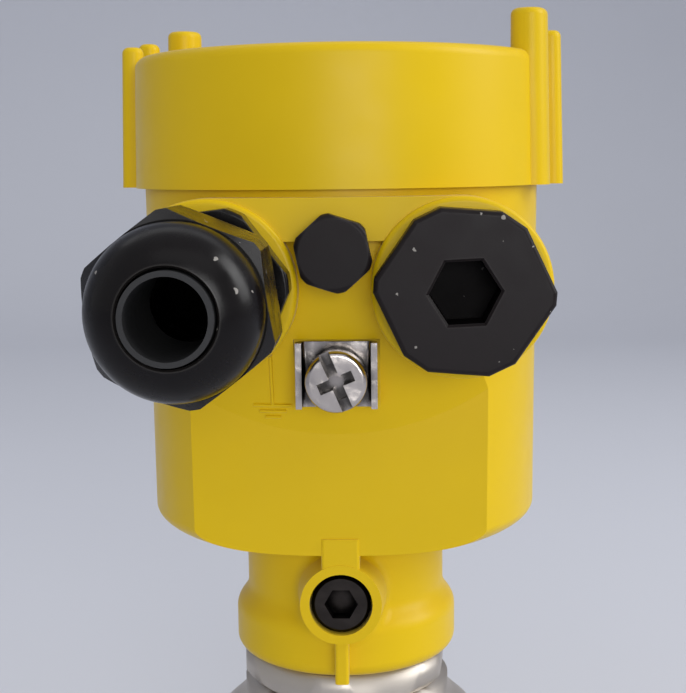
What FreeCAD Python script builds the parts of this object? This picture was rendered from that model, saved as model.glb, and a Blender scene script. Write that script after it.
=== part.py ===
"""Pressure transmitter with a plastic housing on a stainless process fitting.

Millimetres.  The process axis is Z with +Z up, the cable ports face -Y and the
origin lies on the sealing face of the fitting.  One STEP file per piece.
"""
import math
import os

import FreeCAD
import Part

Vec = FreeCAD.Vector
ORIGIN = Vec(0, 0, 0)
UP = Vec(0, 0, 1)

# Clearances
run_gap = 0.05       # radial play of the housing on the spigot
face_gap = 0.3       # between pieces that turn past each other
screw_gap = 0.3      # radial play of a screw or plug in its hole
thread_gap = 0.4     # radial play between lid and rim
seal_gap = 0.05      # on each side of a seal
seat_gap = 0.02      # between pieces that rest on each other

# Process fitting
thread_radius = 16.62
thread_length = 22.0
thread_chamfer = 1.4
shoulder_radius = 24.0
shoulder_height = 9.6
shoulder_edge = 0.8
flare_height = 4.4
collar_radius = 19.2
collar_height = 3.0
line_height = 0.7
line_depth = 1.8
hex_flats = 36.0
hex_height = 5.4
hex_turn = 24.0
hex_corner_radius = 19.4
hex_chamfer = 1.5
channel_radius = 4.5

# Measuring cell
cell_radius = 12.0
cell_height = 6.0
cell_pocket = 9.0
cell_ring_height = 2.2
cell_ring_bore = 9.6
cell_seal_section = 0.9

# Spigot inside the neck
spigot_radius = 13.0
spigot_above_floor = 4.0
spigot_seal_section = 1.0
spigot_seal_rise = 4.0
lock_groove_depth = 2.0
lock_groove_height = 5.0
stop_web_angle = 8.0
circlip_height = 1.2
circlip_depth = 1.2
circlip_reach = 3.2
circlip_mouth = 4.0

# Neck
neck_height = 23.3
neck_foot_radius = 19.0
neck_foot_round = 2.4
neck_skirt_radius = 20.5
neck_skirt_height = 4.8
neck_flare_height = 5.4
neck_waist_radius = 18.3

# Housing shell
body_height = 63.9
body_radius = 35.2
body_draft = 0.3
body_corner_reach = 14.0
body_corner_rise = 5.0
flat_cut = 10.6       # how deep the front flat lies inside the round
flat_wall = 3.6
floor_thickness = 5.8
wall = 4.9
rim_wall = 3.2
pillar_radius = 3.4
pillar_height = 5.5
pillar_inset = 6.3

# Lid
lid_lap = 1.6         # how far the lid reaches down over the body
lid_height = 22.5
lid_overhang = 1.6
lid_draft = 0.5
lid_edge = 1.8
lid_roof = 3.0
lid_seal_height = 2.0
lid_seal_width = 2.0
lid_seal_depth = 0.8

# Grip posts on the lid
tall_post_overhang = 2.0
short_post_overhang = 3.0
post_lean = 0.7       # how much nearer the axis the top of a post ends
post_angle = 67.0
post_step = 15.0
post_shift = 7.0      # the far group sits this much short of opposite
post_edge = 1.1
post_flat = 0.2       # left straight across the end between its two round corners
tall_post_rise = 6.8
tall_post_half = 3.2
tall_post_root = 4.6
short_post_half = 1.9
short_post_root = 1.4
short_post_rises = (3.9, 2.5)

# Cable ports
port_x = 19.9
port_drop = 15.4
port_rise = 13.4      # port faces in front of the flat
port_bore = 10.0
boss_radius = 14.2
boss_edge = 0.9
bridge_step = 1.0
bridge_height = 6.8
apron_radius = 44.4
apron_rise = 3.4
apron_slope = 20.0

# Cable gland, lengths counted outward from the port face
gland_flats = 24.6
gland_corner_radius = 13.5
nut_corner_radius = 13.8
gland_body_turn = 7.0
gland_nut_turn = 38.0
gland_stem = 11.0
gland_gasket_height = 1.5
gland_flange = 5.5
gland_barrel_radius = 9.0
gland_barrel = 12.0
gland_bore = 7.5
finger_length = 5.0
finger_tip_radius = 8.0
finger_root_radius = 8.6
finger_count = 8
finger_slit = 1.2
nut_start = 14.0
nut_hex_length = 14.5
nut_length = 23.4
nut_inner_length = 14.5
nut_cone_length = 5.0
nut_mouth_radius = 6.6
nut_dome_round = 7.0
nut_dome_step = 0.15
insert_start = 18.0
insert_radius = 7.2
insert_bore = 5.5
insert_lip_radius = 6.25
insert_shoulder = 13.2
insert_lip_start = 15.4
insert_length = 20.0

# Blind plug
plug_flats = 24.8
plug_corner_cuts = (27.5, 26.1, 26.1)   # across each pair of cut corners
plug_turn = 55.5
plug_head = 5.7
plug_head_edge = 0.8
plug_stem = 9.0
plug_socket_flats = 9.4
plug_socket_depth = 7.5
plug_socket_turn = 2.6
plug_socket_edge = 0.4
plug_seal_height = 1.3
port_seal_width = 2.3

# Vent cap
vent_drop = 9.7
vent_boss_radius = 5.2
vent_flats = 11.2
vent_corner_radius = 6.15
vent_turn = 42.0
vent_head = 3.4
vent_edge = 0.9
vent_stem_radius = 3.0
vent_stem = 9.0
vent_bore = 1.6
vent_seal_height = 0.6
vent_seal_width = 1.6
membrane_radius = 2.4
membrane_height = 0.5

# Outer earth terminal
earth_drop = 30.6
earth_pad_rise = 4.6
clamp_width = 13.2
clamp_height = 10.7
clamp_shift = 0.7
clamp_sheet = 1.0
clamp_flange = 3.4
clamp_bend = 0.65      # inner radius of the bent sheet
clamp_margin = 0.4     # pocket around the clamp
earth_screw_radius = 2.4
earth_bush_radius = 3.8
earth_bush_length = 6.5
earth_tip_gap = 0.8
earth_head_radius = 5.0
earth_head_height = 3.2
earth_head_edge = 0.8
earth_slot_width = 1.8
earth_slot_depth = 1.5
earth_slot_turn = 113.0
earth_cross_length = 6.0
earth_cross_width = 1.8
washer_radius = 4.9
washer_height = 1.3
washer_slit = 1.0

# Locking screw in the neck
lock_drop = 8.4          # below the foot of the housing shell
lock_boss_radius = 7.0
lock_boss_face = 25.0
lock_boss_draft = 6.0
lock_boss_blend = 2.4    # fillet between the boss and the neck
lock_head_radius = 5.1
lock_head_height = 4.2
lock_head_sunk = 0.5
lock_stem_radius = 3.0
lock_tip_radius = 2.0
lock_tip_gap = 0.4
lock_socket_flats = 5.0
lock_socket_depth = 2.8
lock_rib_half_top = 3.3
lock_rib_half_foot = 1.2
lock_rib_rise = 3.1
lock_rib_edge = 0.6

# Electronics
module_height = 24.0
module_gap = 0.5
module_skirt = 2.2
module_lug_gap = 0.4
block_width = 38.0
block_depth = 13.0
block_height = 10.0
block_y = 4.0
terminal_count = 6
terminal_pitch = 5.6
terminal_screw_radius = 1.9
terminal_screw_sunk = 1.0
terminal_screw_height = 3.0
wire_hole_radius = 1.6
module_screw_radius = 1.5
module_screw_head_radius = 2.8
module_screw_head = 2.2
contact_count = 4
contact_pitch = 3.2
contact_radius = 0.7
contact_height = 4.0
contact_inset = 10.3
inner_earth_inset = 8.0
inner_earth_size = 8.0
inner_earth_sheet = 1.0
inner_earth_head_radius = 3.2
inner_earth_head = 2.4

# Heights that follow from the sizes above
flare_top = shoulder_height + flare_height
collar_top = flare_top + collar_height
hex_base = collar_top + line_height
hex_top = hex_base + hex_height
neck_base = hex_top + face_gap
body_base = neck_base + neck_height
floor_z = body_base + floor_thickness
body_top = body_base + body_height
lid_base = body_top - lid_lap
lid_top = lid_base + lid_height
lid_under = lid_top - lid_roof
rim_top = lid_under - lid_seal_height + lid_seal_depth - 2 * seal_gap
port_z = lid_base - port_drop
vent_z = lid_base - vent_drop
earth_z = lid_base - earth_drop
lock_z = body_base - lock_drop
spigot_top = floor_z + spigot_above_floor
module_base = floor_z + pillar_height
module_top = module_base + module_height

# Radii that follow
spigot_bore = spigot_radius + run_gap
cavity_radius = body_radius - wall
rim_radius = cavity_radius + rim_wall
lid_bore = rim_radius + thread_gap
lid_radius = body_radius + lid_overhang
pillar_reach = cavity_radius - pillar_inset
contact_y = cavity_radius - contact_inset

# Distances from the axis to the front that follow
flat_distance = body_radius - flat_cut
port_face = flat_distance + port_rise
bridge_face = port_face - bridge_step
earth_pad_face = flat_distance + earth_pad_rise
cavity_flat = flat_distance - flat_wall
inner_earth_y = inner_earth_inset - cavity_flat


def revolve(points):
    """Turn a closed outline of (radius, height) points about Z."""
    corners = [Vec(r, 0, z) for r, z in points]
    face = Part.Face(Part.makePolygon(corners + corners[:1]))
    return face.revolve(ORIGIN, UP, 360)


def revolve_edges(edges):
    """Turn a closed outline of straight and curved edges about Z."""
    face = Part.Face(Part.Wire(Part.sortEdges(edges)[0]))
    return face.revolve(ORIGIN, UP, 360)


def tube(inner, outer, low, high):
    """A plain ring between two radii and two heights."""
    return revolve([(inner, low), (outer, low), (outer, high), (inner, high)])


def rod(radius, low, high):
    """A cylinder on the Z axis."""
    return Part.makeCylinder(radius, high - low, Vec(0, 0, low))


def block(x0, x1, y0, y1, z0, z1):
    """A box between two corners."""
    return Part.makeBox(x1 - x0, y1 - y0, z1 - z0, Vec(x0, y0, z0))


def o_ring(radius, section, z):
    """A round-section seal."""
    return Part.makeTorus(radius, section, Vec(0, 0, z), UP)


def hexagon(flats, turn, low, high):
    """A hexagonal prism with one corner at the given angle."""
    reach = flats / math.sqrt(3)
    corners = []
    for k in range(7):
        angle = math.radians(turn + 60 * k)
        corners.append(Vec(reach * math.cos(angle), reach * math.sin(angle), low))
    return Part.Face(Part.makePolygon(corners)).extrude(UP * (high - low))


def turned_head(flats, turn, corner_radius, low, high, edge):
    """A hexagon whose corners are turned round and whose outer rim is rounded."""
    envelope = rod(corner_radius, low, high)
    rim = edges_where(envelope, lambda box: box.ZMin > high - 0.01)
    envelope = envelope.makeFillet(edge, rim)
    return hexagon(flats, turn, low, high).common(envelope)


def cut_hexagon(flats, cuts, turn, low, high):
    """A hexagonal prism whose three pairs of corners are cut off at given widths."""
    reach = flats / math.sqrt(3)
    corners = []
    for k in range(6):
        angle = math.radians(turn + 60 * k)
        out = Vec(math.cos(angle), math.sin(angle), 0)
        along = Vec(-math.sin(angle), math.cos(angle), 0)
        depth = cuts[k % 3] / 2
        half = (reach - depth) * math.sqrt(3)
        corners.append(out * depth - along * half + UP * low)
        corners.append(out * depth + along * half + UP * low)
    return Part.Face(Part.makePolygon(corners + corners[:1])).extrude(UP * (high - low))


def turned_about_z(shape, angle):
    """A copy turned about the Z axis by an angle in degrees."""
    copy = shape.copy()
    copy.rotate(ORIGIN, UP, angle)
    return copy


def to_front(shape, x, face, z):
    """Lay a shape built along +Z so that +Z points out of the front at (x, z)."""
    place = FreeCAD.Placement(Vec(x, -face, z), FreeCAD.Rotation(Vec(1, 0, 0), 90))
    copy = shape.copy()
    copy.Placement = place.multiply(copy.Placement)
    return copy


def edges_where(shape, test):
    """The edges whose bounding box passes a test."""
    return [edge for edge in shape.Edges if test(edge.BoundBox)]


def joined(shapes):
    """Several shapes fused into one clean solid."""
    first = shapes[0]
    return first.fuse(shapes[1:]).removeSplitter()


def process_fitting():
    tip = -thread_length
    spigot_seal_z = neck_base + spigot_seal_rise
    outline = revolve([
        (channel_radius, tip),
        (thread_radius - thread_chamfer, tip),
        (thread_radius, tip + thread_chamfer),
        (thread_radius, 0),
        (shoulder_radius - shoulder_edge, 0),
        (shoulder_radius, shoulder_edge),
        (shoulder_radius, shoulder_height),
        (collar_radius, flare_top),
        (collar_radius, collar_top),
        (hex_flats / 2 - line_depth, collar_top),
        (hex_flats / 2 - line_depth, hex_top),
        (spigot_radius, hex_top),
        (spigot_radius, spigot_top - 0.8),
        (spigot_radius - 0.8, spigot_top),
        (channel_radius, spigot_top),
    ])
    hex_envelope = revolve([
        (0, hex_base),
        (hex_flats / 2, hex_base),
        (hex_corner_radius, hex_base + hex_chamfer),
        (hex_corner_radius, hex_top),
        (0, hex_top),
    ])
    ring_bore = rod(hex_flats / 2 - line_depth - 1.0, hex_base - 1, hex_top + 1)
    hex_part = hexagon(hex_flats, hex_turn, hex_base, hex_top).common(hex_envelope).cut(ring_bore)
    fitting = outline.fuse(hex_part)
    pocket = rod(cell_radius + screw_gap, tip - 1, tip + cell_pocket)
    seal_z = tip + cell_pocket - cell_height / 2
    cell_groove = tube(
        cell_radius,
        cell_radius + 2 * cell_seal_section,
        seal_z - cell_seal_section - seal_gap,
        seal_z + cell_seal_section + seal_gap,
    )
    spigot_groove = tube(
        spigot_radius - 2 * spigot_seal_section - seal_gap,
        spigot_radius + 1,
        spigot_seal_z - spigot_seal_section - seal_gap,
        spigot_seal_z + spigot_seal_section + seal_gap,
    )
    circlip_groove = tube(
        spigot_radius - circlip_depth,
        spigot_radius + 1,
        floor_z + face_gap,
        floor_z + face_gap + circlip_height + 2 * seat_gap,
    )
    groove_low = lock_z - lock_groove_height / 2
    groove_high = lock_z + lock_groove_height / 2
    groove_face = Part.Face(Part.makePolygon([
        Vec(spigot_radius - lock_groove_depth, 0, groove_low),
        Vec(spigot_radius + 1, 0, groove_low),
        Vec(spigot_radius + 1, 0, groove_high),
        Vec(spigot_radius - lock_groove_depth, 0, groove_high),
        Vec(spigot_radius - lock_groove_depth, 0, groove_low),
    ]))
    lock_groove = groove_face.revolve(ORIGIN, UP, 360 - stop_web_angle)
    lock_groove = turned_about_z(lock_groove, 90 + stop_web_angle / 2)
    cuts = [pocket, cell_groove, spigot_groove, circlip_groove, lock_groove]
    return fitting.cut(cuts).removeSplitter()


def measuring_cell():
    top = cell_pocket - thread_length - seat_gap
    return rod(cell_radius, top - cell_height, top)


def cell_seal():
    seal_z = cell_pocket - thread_length - cell_height / 2
    section = cell_seal_section - seal_gap
    return o_ring(cell_radius + seal_gap + section, section, seal_z)


def cell_ring():
    top = cell_pocket - thread_length - cell_height - 2 * seat_gap
    low = top - cell_ring_height
    ring = tube(cell_ring_bore, cell_radius + screw_gap - seat_gap, low, top)
    slot = block(-cell_radius - 1, cell_radius + 1, -0.9, 0.9, low - 1, low + 1.0)
    return ring.cut(slot)


def neck_seal():
    section = spigot_seal_section
    return o_ring(spigot_radius - section, section, neck_base + spigot_seal_rise)


def circlip():
    low = floor_z + face_gap + seat_gap
    inner = spigot_radius - circlip_depth + seal_gap
    ring = tube(inner, spigot_radius + circlip_reach, low, low + circlip_height)
    opening = block(
        -circlip_mouth / 2, circlip_mouth / 2,
        spigot_radius - circlip_depth - 1, spigot_radius + circlip_reach + 1,
        low - 1, low + circlip_height + 1,
    )
    return ring.cut(opening)


def tapered_body():
    """The full round body, slightly wider at the top, with a soft lower corner."""
    low_radius = body_radius - body_draft
    inside = low_radius - body_corner_reach
    corner_top = body_base + body_corner_rise
    side = Vec(low_radius, 0, corner_top)
    foot = Vec(inside, 0, body_base)
    ellipse = Part.Ellipse(side, foot, Vec(inside, 0, corner_top))
    corner = Part.Arc(ellipse, 0, math.pi / 2).toShape()
    rim = Vec(body_radius, 0, body_top)
    lines = Part.makePolygon([side, rim, Vec(0, 0, body_top), Vec(0, 0, body_base), foot])
    return revolve_edges([corner] + lines.Edges)


def front_cut():
    """What the flat takes away below the apron under the ports."""
    reach = body_radius + 5
    slab = block(-reach, reach, -reach, -flat_distance, body_base - 1, body_top + 1)
    slope = math.tan(math.radians(apron_slope))
    back = 4.0
    height = back + flat_cut + 1
    low_radius = apron_radius + back / slope
    high_radius = low_radius - height / slope
    apron = Part.makeCone(low_radius, high_radius, height)
    return slab.cut(to_front(apron, 0, flat_distance - back, lid_base + apron_rise))


def neck_solid():
    """The neck: a rounded foot, a straight skirt and a soft flare up to the waist."""
    skirt_base = neck_base + neck_foot_round
    skirt_top = skirt_base + neck_skirt_height
    flare_end = skirt_top + neck_flare_height
    foot = Vec(neck_foot_radius, 0, neck_base)
    skirt_low = Vec(neck_skirt_radius, 0, skirt_base)
    skirt_high = Vec(neck_skirt_radius, 0, skirt_top)
    waist_low = Vec(neck_waist_radius, 0, flare_end)
    waist_high = Vec(neck_waist_radius, 0, floor_z)
    bulge = (neck_skirt_radius - neck_foot_radius) * 0.7
    foot_middle = Vec(neck_foot_radius + bulge, 0, neck_base + 0.35 * neck_foot_round)
    foot_curve = Part.Arc(foot, foot_middle, skirt_low).toShape()
    flare = Part.BSplineCurve()
    flare.interpolate(Points=[skirt_high, waist_low], InitialTangent=UP, FinalTangent=UP)
    sides = [
        Part.makeLine(skirt_low, skirt_high),
        Part.makeLine(waist_low, waist_high),
    ]
    inside = Part.makePolygon([waist_high, Vec(0, 0, floor_z), Vec(0, 0, neck_base), foot])
    return revolve_edges([foot_curve, flare.toShape()] + sides + inside.Edges)


def lock_rib(half, front, low, high):
    """An upright rib under the housing with soft front edges."""
    rib = block(-half, half, -front, -spigot_bore - 2.0, low, high)
    corners = edges_where(rib, lambda box: box.ZLength > 1.0 and box.YMax < 0.01 - front)
    return rib.makeFillet(lock_rib_edge, corners)


def locked_neck():
    """The neck with the boss of the locking screw blended into it, a rib above and one below."""
    back = spigot_bore + 2.0
    length = lock_boss_face - back
    root_radius = lock_boss_radius + length * math.tan(math.radians(lock_boss_draft))
    boss = to_front(Part.makeCone(root_radius, lock_boss_radius, length), 0, back, lock_z)
    neck = joined([neck_solid(), boss])
    beside = edges_where(neck, lambda box: max(box.XMax, -box.XMin) < root_radius)
    seam = [edge for edge in beside if edge.BoundBox.YMin > 0.5 - lock_boss_face]
    neck = neck.makeFillet(lock_boss_blend, seam)
    upper = lock_rib(lock_rib_half_top, lock_boss_face - 0.1, lock_z, body_base + lock_rib_rise)
    lower = lock_rib(lock_rib_half_foot, lock_boss_face - 0.7, neck_base + 0.4, lock_z)
    return joined([neck, upper, lower])


def earth_seat(near, far):
    """A block behind or in front of the earth clamp, a little larger than it."""
    half_width = clamp_width / 2 + clamp_margin
    half_height = clamp_height / 2 + clamp_margin
    centre = earth_z + clamp_shift
    return block(-half_width, half_width, -far, -near, centre - half_height, centre + half_height)


def pillar_spots():
    """Places of the three posts that carry the electronics."""
    spots = []
    for angle in (20, 90, 160):
        turn = math.radians(angle)
        spots.append((pillar_reach * math.cos(turn), pillar_reach * math.sin(turn)))
    return spots


def housing():
    solids = [tapered_body().cut(front_cut()), locked_neck()]
    solids.append(rod(rim_radius, body_top - 5, rim_top))
    boss = rod(boss_radius, 0, port_face - 5)
    boss = boss.makeFillet(boss_edge, edges_where(boss, lambda box: box.ZMin > port_face - 5.01))
    for side in (-1, 1):
        solids.append(to_front(boss, side * port_x, 5, port_z))
    bridge_top = port_z + boss_radius
    solids.append(block(
        -port_x, port_x, -bridge_face, -cavity_flat - 1,
        bridge_top - bridge_height, bridge_top,
    ))
    vent_boss = rod(vent_boss_radius, 0, bridge_face - cavity_flat - 1)
    solids.append(to_front(vent_boss, 0, cavity_flat + 1, vent_z))
    solids.append(earth_seat(cavity_flat + 1, earth_pad_face))
    shell = joined(solids)

    cavity = rod(cavity_radius, floor_z, rim_top + 1)
    front_wall = block(
        -body_radius, body_radius, -body_radius, -cavity_flat,
        floor_z - 1, port_z + boss_radius,
    )
    cuts = [cavity.cut(front_wall)]
    cuts.append(earth_seat(earth_pad_face, bridge_face))
    cuts.append(rod(spigot_bore, neck_base - 5, floor_z + 1))
    for side in (-1, 1):
        bore = rod(port_bore, 0, port_face + 1)
        cuts.append(to_front(bore, side * port_x, 0, port_z))
    cuts.append(to_front(rod(vent_stem_radius + seal_gap, 0, bridge_face), 0, 0.5, vent_z))
    bush_hole = rod(earth_bush_radius, -earth_bush_length, 1)
    cuts.append(to_front(bush_hole, 0, earth_pad_face, earth_z))
    head_depth = lock_head_height + lock_head_sunk + face_gap
    lock_hole = rod(lock_head_radius + screw_gap, -head_depth, 1)
    lock_hole = lock_hole.fuse(rod(lock_stem_radius + screw_gap, spigot_radius - lock_boss_face - 1, 0))
    cuts.append(to_front(lock_hole, 0, lock_boss_face, lock_z))
    shell = shell.cut(cuts)

    pillars = []
    for x, y in pillar_spots():
        pillar = rod(pillar_radius, floor_z - 0.5, module_base - seat_gap)
        pillar = pillar.cut(rod(module_screw_radius + seat_gap, floor_z + 1.0, module_base))
        pillar.translate(Vec(x, y, 0))
        pillars.append(pillar)
    return shell.fuse(pillars).removeSplitter()


def grip_post(half, root, overhang, rise):
    """One radial grip post on the +X side, leaning inward, with round ends."""
    top = lid_top + rise
    inner = lid_radius - root
    reach = lid_radius + overhang
    outlines = []
    for outer, z in ((reach, lid_base), (reach - post_lean, top)):
        corners = [Vec(inner, -half, z), Vec(outer, -half, z), Vec(outer, half, z), Vec(inner, half, z)]
        outlines.append(Part.makePolygon(corners + corners[:1]))
    post = Part.makeLoft(outlines, True, True)
    round_end = min(half, (root + overhang - post_lean) / 2) - post_flat
    post = post.makeFillet(round_end, edges_where(post, lambda box: box.ZLength > rise))
    return post.makeFillet(post_edge, edges_where(post, lambda box: box.ZMin > top - 0.01))


def lid():
    cap = Part.makeCone(lid_radius, lid_radius - lid_draft, lid_height, Vec(0, 0, lid_base))
    cap = cap.makeFillet(lid_edge, edges_where(cap, lambda box: box.ZMin > lid_top - 0.01))
    group = [grip_post(tall_post_half, tall_post_root, tall_post_overhang, tall_post_rise)]
    for rise in short_post_rises:
        group.append(grip_post(short_post_half, short_post_root, short_post_overhang, rise))
    posts = []
    for start in (post_angle - 90, post_angle + 90 - post_shift):
        for step, post in enumerate(group):
            posts.append(turned_about_z(post, start + step * post_step))
    cap = joined([cap] + posts)
    seal_inner = rim_radius - lid_seal_width - 0.6
    seal_outer = seal_inner + lid_seal_width + 2 * seal_gap
    groove = tube(seal_inner, seal_outer, lid_under - 1, lid_under + lid_seal_depth)
    lap = rod(body_radius + thread_gap, lid_base - 1, body_top + face_gap)
    return cap.cut([rod(lid_bore, lid_base - 1, lid_under), groove, lap])


def lid_seal():
    inner = rim_radius - lid_seal_width - 0.6 + seal_gap
    high = lid_under + lid_seal_depth - seal_gap
    return tube(inner, inner + lid_seal_width, high - lid_seal_height, high)


def port_seal(height, side):
    inner = port_bore - 0.1
    seal = tube(inner, inner + port_seal_width, seal_gap, height - seal_gap)
    return to_front(seal, side * port_x, port_face, port_z)


def gland_body():
    flange_end = gland_gasket_height + gland_flange
    barrel_end = flange_end + gland_barrel
    finger_end = barrel_end + finger_length
    core = revolve([
        (gland_bore, -gland_stem),
        (port_bore - 1.0, -gland_stem),
        (port_bore - 0.15, -gland_stem + 0.9),
        (port_bore - 0.15, gland_gasket_height),
        (gland_barrel_radius, gland_gasket_height),
        (gland_barrel_radius, barrel_end - 0.6),
        (finger_root_radius, barrel_end),
        (finger_tip_radius, finger_end),
        (gland_bore, finger_end),
    ])
    flange = turned_head(
        gland_flats, gland_body_turn, gland_corner_radius,
        gland_gasket_height, flange_end, 0.6,
    )
    body = core.fuse(flange.cut(rod(gland_bore, -1, flange_end + 1)))
    slit = block(0, gland_barrel_radius + 2, -finger_slit / 2, finger_slit / 2, barrel_end, finger_end + 1)
    slits = [turned_about_z(slit, 360 * k / finger_count) for k in range(finger_count)]
    body = body.cut(slits).removeSplitter()
    return to_front(body, -port_x, port_face, port_z)


def gland_insert():
    start = insert_start
    seal = revolve([
        (insert_bore, start),
        (insert_radius, start),
        (insert_radius, start + insert_shoulder),
        (insert_lip_radius, start + insert_lip_start),
        (insert_lip_radius, start + insert_length),
        (insert_bore, start + insert_length),
    ])
    return to_front(seal, -port_x, port_face, port_z)


def gland_nut():
    start = nut_start
    end = start + nut_length
    hex_end = start + nut_hex_length
    flat_radius = gland_flats / 2
    dome = revolve([
        (0, start),
        (nut_corner_radius - 0.9, start),
        (nut_corner_radius, start + 0.9),
        (nut_corner_radius, hex_end - 1.2),
        (flat_radius + 0.1, hex_end + 0.8),
        (flat_radius + 0.1, end),
        (0, end),
    ])
    prism = hexagon(gland_flats, gland_nut_turn, start, hex_end + 1.0).common(dome)
    cap = rod(flat_radius - nut_dome_step, hex_end - 1.0, end)
    cap = cap.makeFillet(nut_dome_round, edges_where(cap, lambda box: box.ZMin > end - 0.01))
    nut = joined([prism, cap])
    inner = gland_barrel_radius + 0.3
    mouth = start + nut_inner_length
    bore = revolve([
        (0, start - 1),
        (inner + 0.6, start - 1),
        (inner + 0.6, start),
        (inner, start + 0.8),
        (inner, mouth),
        (nut_mouth_radius, mouth + nut_cone_length),
        (nut_mouth_radius, end - 0.5),
        (nut_mouth_radius + 0.5, end),
        (nut_mouth_radius + 0.5, end + 1),
        (0, end + 1),
    ])
    return to_front(nut.cut(bore), -port_x, port_face, port_z)


def blind_plug():
    head_end = plug_seal_height + plug_head
    head = cut_hexagon(plug_flats, plug_corner_cuts, plug_turn - 60, plug_seal_height, head_end)
    front = edges_where(head, lambda box: box.ZMin > head_end - 0.01)
    head = head.makeFillet(plug_head_edge, front)
    stem = rod(port_bore - screw_gap, -plug_stem, plug_seal_height + 1)
    rim = edges_where(stem, lambda box: box.ZMax < -plug_stem + 0.01)
    plug = joined([head, stem.makeChamfer(0.8, rim)])
    socket_low = head_end - plug_socket_depth
    socket = hexagon(plug_socket_flats, plug_socket_turn, socket_low, head_end + 1)
    plug = plug.cut(socket)
    face = edges_where(plug, lambda box: box.ZMin > head_end - 0.01)
    mouth = [edge for edge in face if math.hypot(*edge.CenterOfMass[:2]) < plug_socket_flats]
    plug = plug.makeChamfer(plug_socket_edge, mouth)
    return to_front(plug, port_x, port_face, port_z)


def vent_cap():
    base = vent_seal_height
    head = turned_head(vent_flats, vent_turn, vent_corner_radius, base, base + vent_head, vent_edge)
    stem = rod(vent_stem_radius, -vent_stem, base + 0.5)
    cap = joined([head, stem])
    passage = rod(vent_bore, -vent_stem - 1, base + 0.8)
    seat = rod(membrane_radius + seal_gap, -vent_stem - 1, -vent_stem + membrane_height + seal_gap)
    return to_front(cap.cut([passage, seat]), 0, bridge_face, vent_z)


def vent_membrane():
    low = -vent_stem
    return to_front(rod(membrane_radius, low, low + membrane_height), 0, bridge_face, vent_z)


def vent_seal():
    inner = vent_stem_radius + seal_gap
    ring = tube(inner, inner + vent_seal_width, seat_gap, vent_seal_height - seat_gap)
    return to_front(ring, 0, bridge_face, vent_z)


def earth_bush():
    bore = earth_screw_radius + screw_gap
    bush = tube(bore, earth_bush_radius - seat_gap, -earth_bush_length + seat_gap, 0)
    return to_front(bush, 0, earth_pad_face, earth_z)


def earth_clamp():
    half = clamp_width / 2
    low = clamp_shift - clamp_height / 2
    high = clamp_shift + clamp_height / 2
    outer = block(-half, half, low, high, seal_gap, clamp_flange)
    bends = edges_where(outer, lambda box: box.YLength > 1.0 and box.ZMax < 0.5)
    outer = outer.makeFillet(clamp_bend + clamp_sheet, bends)
    inside = half - clamp_sheet
    inner = block(-inside, inside, low - 1, high + 1, clamp_sheet, clamp_flange + 1)
    bends = edges_where(inner, lambda box: box.YLength > 1.0 and box.ZMax < clamp_sheet + 0.5)
    inner = inner.makeFillet(clamp_bend, bends)
    hole = rod(earth_screw_radius + screw_gap, -1, clamp_sheet + 1)
    return to_front(outer.cut([inner, hole]), 0, earth_pad_face, earth_z)


def earth_washer():
    low = clamp_sheet + seal_gap
    ring = tube(earth_screw_radius + screw_gap, washer_radius, low, low + washer_height)
    slit = block(0, washer_radius + 1, -washer_slit / 2, washer_slit / 2, 0, low + washer_height + 1)
    return to_front(ring.cut(turned_about_z(slit, 50)), 0, earth_pad_face, earth_z)


def earth_screw():
    low = clamp_sheet + washer_height + 2 * seal_gap
    high = low + earth_head_height
    head = rod(earth_head_radius, low, high)
    head = head.makeFillet(earth_head_edge, edges_where(head, lambda box: box.ZMin > high - 0.01))
    stem = rod(earth_screw_radius, earth_tip_gap - earth_bush_length, low + 0.5)
    reach = earth_head_radius + 1
    half = earth_slot_width / 2
    slot = block(-reach, reach, -half, half, high - earth_slot_depth, high + 1)
    cross = earth_cross_length / 2
    half = earth_cross_width / 2
    arm = block(-half, half, -cross, cross, high - earth_slot_depth - 0.8, high + 1)
    long_arm = block(-cross, cross, -half, half, high - earth_slot_depth - 0.8, high + 1)
    recess = [turned_about_z(cut, earth_slot_turn) for cut in (slot, arm, long_arm)]
    screw = joined([head, stem]).cut(recess)
    return to_front(screw, 0, earth_pad_face, earth_z)


def locking_screw():
    high = -lock_head_sunk
    low = high - lock_head_height
    tip_end = spigot_radius - lock_groove_depth + lock_tip_gap - lock_boss_face
    stem_end = spigot_radius + 0.6 - lock_boss_face
    screw = revolve([
        (0, tip_end),
        (lock_tip_radius, tip_end),
        (lock_tip_radius, stem_end - 0.6),
        (lock_stem_radius, stem_end),
        (lock_stem_radius, low),
        (lock_head_radius, low),
        (lock_head_radius, high - 0.6),
        (lock_head_radius - 0.6, high),
        (0, high),
    ])
    socket = hexagon(lock_socket_flats, 0, high - lock_socket_depth, high + 1)
    return to_front(screw.cut(socket), 0, lock_boss_face, lock_z)


def flat_sided_disc(shrink, low, high):
    """The inside of the cavity, made smaller all round."""
    disc = rod(cavity_radius - shrink, low, high)
    front = block(
        -body_radius, body_radius, -body_radius, -cavity_flat + shrink,
        low - 1, high + 1,
    )
    return disc.cut(front)


def electronics_module():
    cup = flat_sided_disc(module_gap, module_base, module_top)
    hollow = flat_sided_disc(module_gap + module_skirt, module_top - 2.5, module_top + 1)
    cup = cup.cut(hollow)
    foot = rod(spigot_radius + circlip_reach + 2.0, module_base - 1, module_base + 4.0)
    cup = cup.cut(foot)
    spots = []
    for x, y in pillar_spots():
        hole = rod(module_screw_radius + seat_gap, module_base - 1, module_top + 1)
        hole = hole.fuse(rod(module_screw_head_radius + module_lug_gap, module_base + 4, module_top + 1))
        hole.translate(Vec(x, y, 0))
        spots.append(hole)
    return cup.cut(spots).removeSplitter()


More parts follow.
